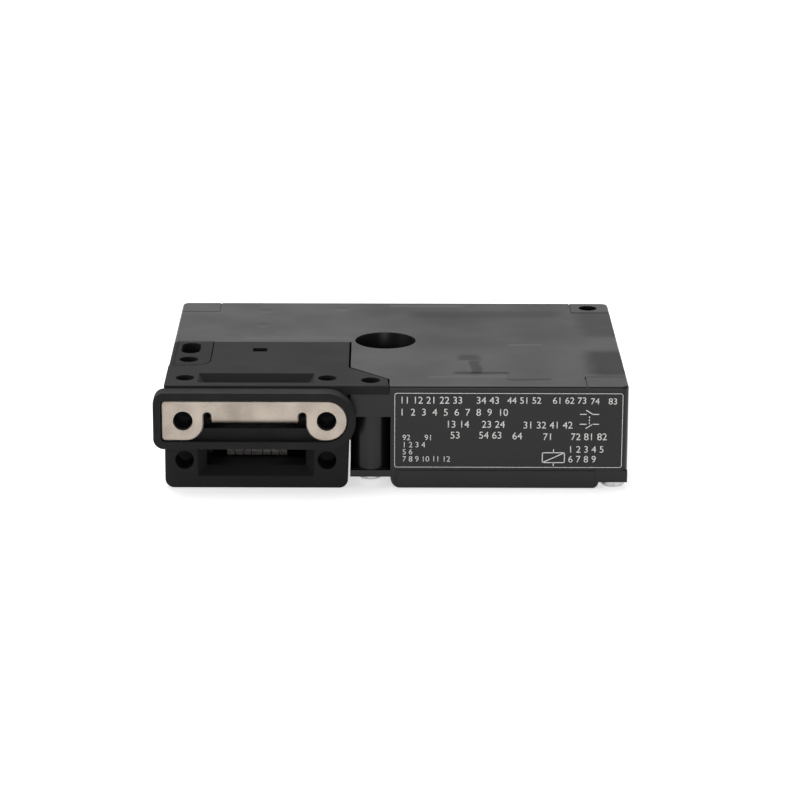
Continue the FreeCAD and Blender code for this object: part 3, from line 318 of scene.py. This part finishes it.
def addSoftBox(tree, place, low, high, soft, faceOnly=True):
    # one inside the box given across and back, fading to nothing over the soft edge; on the mounting face,
    # or at every height where faceOnly is off
    split = addNode(tree, "ShaderNodeSeparateXYZ", links={"Vector": place})
    product = None
    sides = [("X", low[0], high[0]), ("Y", low[1], high[1])]
    if faceOnly:
        sides.append(("Z", topFace - soft / 2 - 0.3 * millimetre, topFace + soft))
    for axis, near, far in sides:
        for edge, side in ((near, 1), (far, -1)):
            ramp = addNode(tree, "ShaderNodeMapRange",
                           {"interpolation_type": "SMOOTHSTEP", "From Min": edge - side * soft / 2,
                            "From Max": edge + side * soft / 2}, {"Value": split.outputs[axis]})
            if product is None:
                product = ramp
            else:
                product = addNode(tree, "ShaderNodeMath", {"operation": "MULTIPLY"},
                                  {0: product.outputs[0], 1: ramp.outputs[0]})
    return product


# in mm from the housing's left end and back from the label's face
toolMarks = {
    # near corner, far corner, soft edge and change of roughness
    "patches": (((81, 12.4), (97, 14.4), 1.2, 0.3), ((86, 13), (88.8, 26), 1.2, 0.24),
                ((83, 26.5), (89, 32), 2.5, 0.2), ((120, 12), (134, 36), 6, 0.3),
                ((120, 52), (134, 80), 6, 0.16),
                ((70, 73), (114, 80), 5, 0.1), ((60, 36), (118, 92), 30, 0.09), ((96, 6), (108, 7.6), 1, 0.2),
                ((74, 8.8), (96, 10.6), 1.6, -0.13), ((98, 42), (107.5, 43.4), 1.2, -0.14),
                ((64, 85.4), (86, 87), 1.2, -0.16), ((20, 47), (52, 51), 3, -0.08)),
    "lines": (((1.3, 44.9), (11.8, 45.8)), ((1.3, 21.2), (1.8, 45.2)), ((0.2, 20.9), (8, 21.6)),
              ((119, 8.9), (129.6, 9.4)), ((118.4, 78.5), (129.4, 79.1)), ((0.5, 78.5), (11.8, 79.1))),
    "lineDepth": 0.6, "lineSoft": 0.4,
    "sinks": ((26, 79.9), (25.6, 63.9), (48.7, 82.5)), "sinkSize": 3.2, "sinkDepth": 0.12,
    "lug": ((-1, 20), (11.75, 45.2), 0.2), "lugGloss": 0.82,
    "wanderSize": 9, "wander": 3,  # the patches' edges wander by up to half of this
}


def mouldedHousing():
    # the housing's own plastic, with the spark-eroded lug, matt and shiny patches and sink marks of its tool
    material = mouldedPlastic("moulded_housing_with_tool_marks", plasticLooks["housing_plastic"])
    tree = material.node_tree
    shader = next(node for node in tree.nodes if node.type == "BSDF_PRINCIPLED")
    bump = next(node for node in tree.nodes if node.type == "BUMP")
    gloss = shader.inputs["Roughness"].links[0].from_socket
    place = next(node for node in tree.nodes if node.type == "TEX_COORD").outputs["Object"]
    reach = toolMarks["wander"] * millimetre
    wander = addNode(tree, "ShaderNodeTexNoise",
                     {"Scale": grainPerMetre(toolMarks["wanderSize"]), "Detail": 3}, {"Vector": place})
    away = addNode(tree, "ShaderNodeVectorMath", {"operation": "MULTIPLY_ADD", 1: (reach, reach, 0)},
                   {0: wander.outputs["Color"], 2: place})
    uneven = addNode(tree, "ShaderNodeVectorMath", {"operation": "SUBTRACT", 1: (reach / 2, reach / 2, 0)},
                     {0: away.outputs[0]})
    for low, high, soft, amount in toolMarks["patches"]:
        mask = addSoftBox(tree, uneven.outputs[0], (fromLeft(low[0]), fromFront(low[1])),
                          (fromLeft(high[0]), fromFront(high[1])), soft * millimetre)
        gloss = addNode(tree, "ShaderNodeMath", {"operation": "MULTIPLY_ADD", 1: amount},
                        {0: mask.outputs[0], 2: gloss}).outputs[0]
    low, high, soft = toolMarks["lug"]
    lug = addSoftBox(tree, place, (fromLeft(low[0]), fromFront(low[1])),
                     (fromLeft(high[0]), fromFront(high[1])), soft * millimetre, faceOnly=False)
    matt = addNode(tree, "ShaderNodeMix", {3: toolMarks["lugGloss"]}, {0: lug.outputs[0], 2: gloss})
    tree.links.new(matt.outputs[0], shader.inputs["Roughness"])
    # heights of the grooves and sink marks add up, in mm
    height = None
    for low, high in toolMarks["lines"]:
        groove = addSoftBox(tree, place, (fromLeft(low[0]), fromFront(low[1])),
                            (fromLeft(high[0]), fromFront(high[1])), toolMarks["lineSoft"] * millimetre)
        depth = addNode(tree, "ShaderNodeMath",
                        {"operation": "MULTIPLY_ADD", 1: -toolMarks["lineDepth"], 2: 0},
                        {0: groove.outputs[0]})
        if height is not None:
            tree.links.new(height, depth.inputs[2])
        height = depth.outputs[0]
    for across, back in toolMarks["sinks"]:
        centre = addNode(tree, "ShaderNodeVectorMath",
                         {"operation": "DISTANCE", 1: (fromLeft(across), fromFront(back), topFace)},
                         {0: place})
        dish = addNode(tree, "ShaderNodeMapRange",
                       {"interpolation_type": "SMOOTHSTEP", "From Min": 0,
                        "From Max": toolMarks["sinkSize"] * millimetre, "To Min": -toolMarks["sinkDepth"],
                        "To Max": 0}, {"Value": centre.outputs["Value"]})
        total = addNode(tree, "ShaderNodeMath", {"operation": "ADD"}, {0: height, 1: dish.outputs[0]})
        height = total.outputs[0]
    rounded = bump.inputs["Normal"].links[0].from_socket
    marks = addNode(tree, "ShaderNodeBump", {"Strength": 1, "Distance": millimetre},
                    {"Height": height, "Normal": rounded})
    tree.links.new(marks.outputs["Normal"], bump.inputs["Normal"])
    return material


materials = {slot: mouldedPlastic(look["name"], look) for slot, look in plasticLooks.items()}
materials.update({slot: workedMetal(look["name"], look) for slot, look in metalLooks.items()})
materials["winding"] = woundCopper()
housingFinish = mouldedHousing()
ink = printedInk()
slots = {entry["node"]: entry["material_slot"] for entry in frame["record"]["subparts"]}
for nodeName, node in frame["nodes"].items():
    finish = housingFinish if nodeName == "main_housing" else materials[slots[nodeName]]
    node.data.materials.clear()
    node.data.materials.append(finish)
print("finishes on", len(slots), "nodes")


def finishPiece(piece, name, material, body):
    # name, finish, clean mesh at the origin, and the body that the piece rides on
    piece.name = name
    piece.data.name = name
    piece.data.materials.clear()
    piece.data.materials.append(material)
    bpy.ops.object.select_all(action="DESELECT")
    piece.select_set(True)
    bpy.context.view_layer.objects.active = piece
    bpy.ops.object.transform_apply(location=True, rotation=True, scale=True)
    bpy.ops.object.mode_set(mode="EDIT")
    bpy.ops.mesh.select_all(action="SELECT")
    bpy.ops.mesh.remove_doubles(threshold=1e-7)
    bpy.ops.mesh.normals_make_consistent(inside=False)
    bpy.ops.object.mode_set(mode="OBJECT")
    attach(piece, body)
    bpy.ops.object.select_all(action="DESELECT")


def joinAll(objects):
    bpy.ops.object.select_all(action="DESELECT")
    for item in objects:
        item.select_set(True)
    bpy.context.view_layer.objects.active = objects[0]
    bpy.ops.object.join()
    return bpy.context.active_object


# printed panel: an outline, plain numbers and circuit symbols
panel = {
    "fromFlange": 1.6 * millimetre, "fromRight": 1.5 * millimetre,
    "fromCover": 0.9 * millimetre, "fromTop": 2 * millimetre,
    "corner": 0.7 * millimetre, "line": 0.15 * millimetre, "ink": 0.02 * millimetre,
    "stroke": 0.24 * millimetre,
    # symbols in mm: across from the panel's left, down from its top or up from its foot
    "contactAt": 54.6, "contact": (2.6, 0.9), "blades": ((6.1, 1.2), (9, -1.2)),
    "linkDown": 8.9, "linkStep": 0.9, "linkDash": 0.3, "linkDashes": 3,
    "coilAt": (41.6, 1.5), "coil": (6.2, 2.9), "lead": 0.9,
    # each entry: how far across from the panel's left and down from its top, size of the digits, the numbers
    "numbers": ((1.4, 2.2, 2.9, "11 12 21 22 33"), (22.8, 2.2, 2.9, "34 43"), (31.5, 2.2, 2.7, "44 51 52"),
                (44.2, 2.2, 2.7, "61 62 73"), (54.8, 2.4, 2.6, "74"), (59.8, 2.4, 2.6, "83"),
                (1.4, 5.7, 2.9, "1  2  3  4  5  6  7  8  9  10"),
                (14.4, 9.2, 2.9, "13 14"), (24.4, 9.2, 2.9, "23 24"), (36, 9.4, 2.9, "31 32 41 42"),
                (15.6, 12.4, 2.9, "53"), (23.6, 12.4, 2.9, "54 63"), (33, 12.6, 2.9, "64"),
                (41.6, 12.8, 2.9, "71"), (49.4, 12.8, 2.9, "72 81 82"),
                (8.4, 13.1, 2.3, "91"), (2.2, 13.1, 2.3, "92"), (2.2, 15.2, 2.3, "1 2 3 4"),
                (2.2, 17.3, 2.3, "5 6"), (2.2, 19.4, 2.3, "7 8 9 10 11 12"),
                (48.8, 16.5, 2.8, "1 2 3 4 5"), (48.8, 19.4, 2.8, "6 7 8 9")),
}
panelLeft = headHigh.x + panel["fromFlange"]
panelRight = rightFace - panel["fromRight"]
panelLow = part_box("housing_cover")[1].z + panel["fromCover"]
panelHigh = topFace - panel["fromTop"]


def printStroke(begin, end, width):
    # one straight line of ink between two points given across and up
    across = end[0] - begin[0]
    up = end[1] - begin[1]
    bpy.ops.mesh.primitive_plane_add(
        size=1, location=((begin[0] + end[0]) / 2, frontFace, (begin[1] + end[1]) / 2),
        rotation=(math.pi / 2, -math.atan2(up, across), 0))
    stroke = bpy.context.active_object
    stroke.scale = (math.hypot(across, up) + width, width, 1)
    return stroke


def raiseInk(piece):
    # printed shapes start flat on the face and get the ink's own thickness
    bpy.ops.object.select_all(action="DESELECT")
    piece.select_set(True)
    bpy.context.view_layer.objects.active = piece
    bpy.ops.object.transform_apply(location=True, rotation=True, scale=True)
    bpy.ops.object.mode_set(mode="EDIT")
    bpy.ops.mesh.select_all(action="SELECT")
    bpy.ops.mesh.extrude_region_move(TRANSFORM_OT_translate={"value": (0, -panel["ink"], 0)})
    bpy.ops.object.mode_set(mode="OBJECT")
    return piece


def makePanelOutline():
    bpy.ops.mesh.primitive_plane_add(
        size=1, location=((panelLeft + panelRight) / 2, frontFace, (panelLow + panelHigh) / 2),
        rotation=(math.pi / 2, 0, 0))
    outline = bpy.context.active_object
    outline.scale = (panelRight - panelLeft, panelHigh - panelLow, 1)
    bpy.ops.object.transform_apply(location=True, rotation=True, scale=True)
    bpy.ops.object.mode_set(mode="EDIT")
    bpy.ops.mesh.select_all(action="SELECT")
    bpy.ops.mesh.bevel(offset=panel["corner"], segments=5, affect="VERTICES")
    bpy.ops.mesh.select_all(action="SELECT")
    bpy.ops.mesh.inset(thickness=panel["line"], depth=0)
    bpy.ops.mesh.delete(type="FACE")
    bpy.ops.object.mode_set(mode="OBJECT")
    finishPiece(raiseInk(outline), "panel_outline", ink, "base")


def makePanelNumbers():
    numbers = []
    for across, down, size, text in panel["numbers"]:
        place = (panelLeft + across * millimetre, frontFace, panelHigh - down * millimetre)
        bpy.ops.object.text_add(location=place, rotation=(math.pi / 2, 0, 0))
        number = bpy.context.active_object
        number.data.body = text
        number.data.size = size * millimetre
        number.data.offset = 0.0003 * size * millimetre  # a hair of extra weight, as ink spreads
        number.data.align_y = "CENTER"
        bpy.ops.object.convert(target="MESH")
        numbers.append(bpy.context.active_object)
    finishPiece(raiseInk(joinAll(numbers)), "panel_numbers", ink, "base")


def makePanelSymbols():
    strokes = []
    width = panel["stroke"]
    reach, gap = (size * millimetre for size in panel["contact"])
    middle = panelLeft + panel["contactAt"] * millimetre
    for down, lift in panel["blades"]:
        # a lead at each side and a slanting blade between them
        up = panelHigh - down * millimetre
        strokes += [printStroke((middle - reach, up), (middle - gap, up), width),
                    printStroke((middle + gap, up), (middle + reach, up), width),
                    printStroke((middle - gap, up + lift * millimetre), (middle + gap, up), width)]
    for step in range(panel["linkDashes"]):
        # the broken line that couples the two blades
        low = panelHigh - (panel["linkDown"] - panel["linkStep"] * step) * millimetre
        strokes.append(printStroke((middle, low), (middle, low + panel["linkDash"] * millimetre), width))
    # the coil: a box with one diagonal and a lead above and below
    wide, tall = (size * millimetre for size in panel["coil"])
    lead = panel["lead"] * millimetre
    near = panelLeft + panel["coilAt"][0] * millimetre
    low = panelLow + panel["coilAt"][1] * millimetre
    far = near + wide
    high = low + tall
    corners = [(near, low), (far, low), (far, high), (near, high)]
    for index, corner in enumerate(corners):
        strokes.append(printStroke(corner, corners[(index + 1) % 4], width))
    middle = (near + far) / 2
    strokes += [printStroke((near, low), (far, high), width),
                printStroke((middle, high), (middle, high + lead), width),
                printStroke((middle, low - lead), (middle, low), width)]
    finishPiece(raiseInk(joinAll(strokes)), "panel_symbols", ink, "base")


makePanelOutline()
makePanelNumbers()
makePanelSymbols()
print("printed panel done")


# the slot in the actuator's plastic frame, around the tongue and as wide as the plate's notches
tongueSlot = {"halfWidth": 14.3 * millimetre, "below": 2.7 * millimetre, "above": 2.25 * millimetre,
              "fromPlate": 1.95 * millimetre, "past": 1 * millimetre}


def makeActuatorFrame():
    # a copy of the frame's solid with the wider slot cut through its web
    bpy.ops.object.select_all(action="DESELECT")
    node = frame["nodes"]["actuator_frame"]
    node.select_set(True)
    bpy.context.view_layer.objects.active = node
    bpy.ops.object.duplicate()
    piece = bpy.context.active_object
    piece.parent = None
    bpy.ops.object.mode_set(mode="EDIT")
    bpy.ops.mesh.select_all(action="SELECT")
    bpy.ops.mesh.remove_doubles(threshold=1e-6)
    bpy.ops.object.mode_set(mode="OBJECT")
    middle = Vector(mounts["actuator_fixing"]["pos_m"])
    low = middle.z - tongueSlot["below"]
    high = middle.z + tongueSlot["above"]
    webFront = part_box("actuator_plate")[0].y + tongueSlot["fromPlate"]
    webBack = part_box("actuator_frame")[1].y + tongueSlot["past"]
    bpy.ops.mesh.primitive_cube_add(size=1, location=(middle.x, (webFront + webBack) / 2, (low + high) / 2))
    cutter = bpy.context.active_object
    cutter.scale = (2 * tongueSlot["halfWidth"], webBack - webFront, high - low)
    bpy.ops.object.transform_apply(location=True, rotation=True, scale=True)
    bpy.ops.object.select_all(action="DESELECT")
    bpy.context.view_layer.objects.active = piece
    piece.select_set(True)
    cut = piece.modifiers.new("slot", "BOOLEAN")
    cut.operation = "DIFFERENCE"
    cut.object = cutter
    cut.solver = "EXACT"
    bpy.ops.object.modifier_apply(modifier=cut.name)
    bpy.data.objects.remove(cutter)
    slot = "actuator_plastic"
    finishPiece(piece, "actuator_frame_moulding", materials[slot], "actuator")
    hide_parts("actuator_frame")


# threads of the two open cable entries, standing inwards from the bore
# fill is the share of the pitch from a tooth's middle to its foot
thread = {"pitch": 1.5 * millimetre, "turns": 4, "tooth": 0.35 * millimetre, "root": 0.03 * millimetre,
          "setBack": 0.8 * millimetre, "steps": 48, "fill": 0.42}


def makeThread(name, centre, radius):
    outer = radius + thread["root"]
    inner = radius - thread["tooth"]
    half = thread["pitch"] * thread["fill"]
    bpy.ops.mesh.primitive_circle_add(vertices=3, radius=1, fill_type="NGON", location=(0, 0, 0))
    piece = bpy.context.active_object
    profile = ((-half, 0, outer), (0, 0, inner), (half, 0, outer))
    for vertex, place in zip(piece.data.vertices, profile):
        vertex.co = place
    turn = piece.modifiers.new("turns", "SCREW")
    turn.axis = "X"
    turn.screw_offset = thread["pitch"]
    turn.iterations = thread["turns"]
    turn.steps = thread["steps"]
    turn.render_steps = thread["steps"]
    bpy.ops.object.modifier_apply(modifier=turn.name)
    bpy.ops.object.mode_set(mode="EDIT")
    bpy.ops.mesh.select_all(action="SELECT")
    bpy.ops.mesh.fill_holes(sides=3)
    length = thread["pitch"] * thread["turns"]
    bpy.ops.transform.translate(value=(centre.x - thread["setBack"] - length - half, centre.y, centre.z))
    bpy.ops.object.mode_set(mode="OBJECT")
    finishPiece(piece, name, materials["housing_plastic"], "base")


makeActuatorFrame()
for number in (1, 2):
    entry = mounts[f"cable_entry_right_{number}"]
    place = Vector(entry["pos_m"])
    place.x = rightFace
    makeThread(f"entry_thread_{number}", place, entry["dims"]["r_mm"] * millimetre)
print("frame moulding and entry threads done")


studio = {
    "floorSize": 6, "floorBelow": 0.02 * millimetre,  # clear of the cover, so that the two don't flicker
    "paper": "#d6d6d6", "lift": 0.62,  # the lift keeps the shadow but not its darkness
    "back": 0.74, "front": 0.32,  # the sky's strength behind the object and over the camera
    "turnFrom": -0.7, "turnTo": 0.75,  # how far forward and back the sky goes over from one to the other
}


def makeFloor():
    level = cadBox[0][2] - studio["floorBelow"]
    bpy.ops.mesh.primitive_plane_add(size=studio["floorSize"], location=(0, 0, level))
    floor = bpy.context.active_object
    floor.name = "studio_floor"
    material, tree = newMaterial("white_paper_sweep")
    path = addNode(tree, "ShaderNodeLightPath")
    seen = addNode(tree, "ShaderNodeMath", {"operation": "MAXIMUM"},
                   {0: path.outputs["Is Camera Ray"], 1: path.outputs["Is Glossy Ray"]})
    paper = addNode(tree, "ShaderNodeBsdfDiffuse", {"Color": toLinear(studio["paper"])})
    lift = addNode(tree, "ShaderNodeEmission", {"Color": (1, 1, 1, 1), "Strength": studio["lift"]})
    glow = addNode(tree, "ShaderNodeAddShader", links={0: paper.outputs[0], 1: lift.outputs[0]})
    mixed = addNode(tree, "ShaderNodeMixShader",
                    links={0: seen.outputs[0], 1: paper.outputs[0], 2: glow.outputs[0]})
    addNode(tree, "ShaderNodeOutputMaterial", links={"Surface": mixed.outputs[0]})
    floor.data.materials.append(material)


def makeWorld():
    # white to the camera; as light and in reflections it is white behind the object and dim over the camera
    world = bpy.data.worlds.new("studio")
    bpy.context.scene.world = world
    world.use_nodes = True
    tree = world.node_tree
    tree.nodes.clear()
    way = addNode(tree, "ShaderNodeTexCoord").outputs["Generated"]
    split = addNode(tree, "ShaderNodeSeparateXYZ", links={"Vector": way})
    shade = addNode(tree, "ShaderNodeMapRange",
                    {"interpolation_type": "SMOOTHSTEP", "From Min": studio["turnFrom"],
                     "From Max": studio["turnTo"], "To Min": studio["front"], "To Max": studio["back"]},
                    {"Value": split.outputs["Y"]})
    path = addNode(tree, "ShaderNodeLightPath")
    seen = addNode(tree, "ShaderNodeMath", {"operation": "MAXIMUM"},
                   {0: path.outputs["Is Camera Ray"], 1: path.outputs["Is Transmission Ray"]})
    strength = addNode(tree, "ShaderNodeMath", {"operation": "MAXIMUM"},
                       {0: seen.outputs[0], 1: shade.outputs[0]})
    sky = addNode(tree, "ShaderNodeBackground", {"Color": (1, 1, 1, 1)}, {"Strength": strength.outputs[0]})
    addNode(tree, "ShaderNodeOutputWorld", links={"Surface": sky.outputs[0]})


lamps = {
    "softbox_above": {"at": (-0.1, 0.25, 0.78), "size": 0.7, "power": 5.5},
    "softbox_left": {"at": (-0.8, -0.25, 0.4), "size": 0.5, "power": 1.6},
    # low, so that it reaches into the slots
    "softbox_front": {"at": (0.05, -0.95, 0.1), "size": 0.35, "power": 1.9},
}


def makeLamps():
    for name, lamp in lamps.items():
        bpy.ops.object.light_add(type="AREA", location=lamp["at"])
        light = bpy.context.active_object
        light.name = name
        light.data.size = lamp["size"]
        light.data.energy = lamp["power"]
        light.rotation_euler = (-Vector(lamp["at"])).to_track_quat("-Z", "Y").to_euler()


viewpoint = {"at": (-0.004709, -0.873137, 0.275442), "degrees": (73.2348, -0.2490, -0.3150),
             "lens": 139.32, "sensor": 36}


def makeCamera():
    bpy.ops.object.camera_add(location=viewpoint["at"],
                              rotation=[math.radians(angle) for angle in viewpoint["degrees"]])
    camera = bpy.context.active_object
    camera.data.lens = viewpoint["lens"]
    camera.data.sensor_width = viewpoint["sensor"]
    bpy.context.scene.camera = camera


makeFloor()
makeWorld()
makeLamps()
makeCamera()
bpy.context.scene.view_settings.view_transform = "Standard"
print("stage, lights and camera done")
